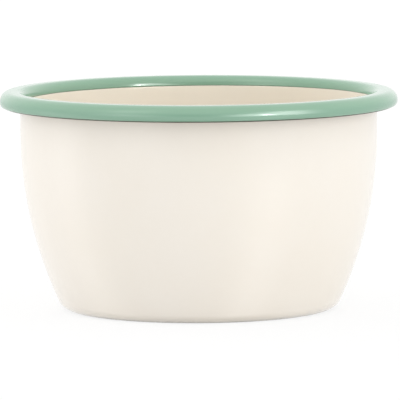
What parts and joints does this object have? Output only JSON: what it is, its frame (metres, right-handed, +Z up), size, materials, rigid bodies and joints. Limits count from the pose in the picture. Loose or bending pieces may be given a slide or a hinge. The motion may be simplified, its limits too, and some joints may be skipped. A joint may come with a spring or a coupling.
{
  "type": "enamel bowl",
  "caption": "Round enamelled steel bowl with an upright wall that curves in to a flat base, and a thick rolled rim in a second colour, for serving, mixing or keeping food.",
  "frame": {"origin": "on the bowl's axis, in the plane that it stands on", "axes": "+Z up along the bowl's axis, out of its mouth; the bowl is round, so +X and +Y are any two level directions"},
  "size_m": [0.14, 0.14, 0.077],
  "materials": {
    "pickled_steel": "dull grey pickled sheet, hidden under the coats",
    "dark_ground_enamel": "semi-gloss dark olive ground coat",
    "cream_enamel": "gloss cream vitreous enamel",
    "green_enamel": "gloss sage green vitreous enamel"
  },
  "bodies": {
    "root": {"steel_shell": "pickled_steel", "inner_ground_coat": "dark_ground_enamel", "outer_ground_coat": "dark_ground_enamel", "inner_cream_enamel": "cream_enamel", "outer_cream_enamel": "cream_enamel", "rim_green_enamel": "green_enamel"}
  },
  "joints": []
}
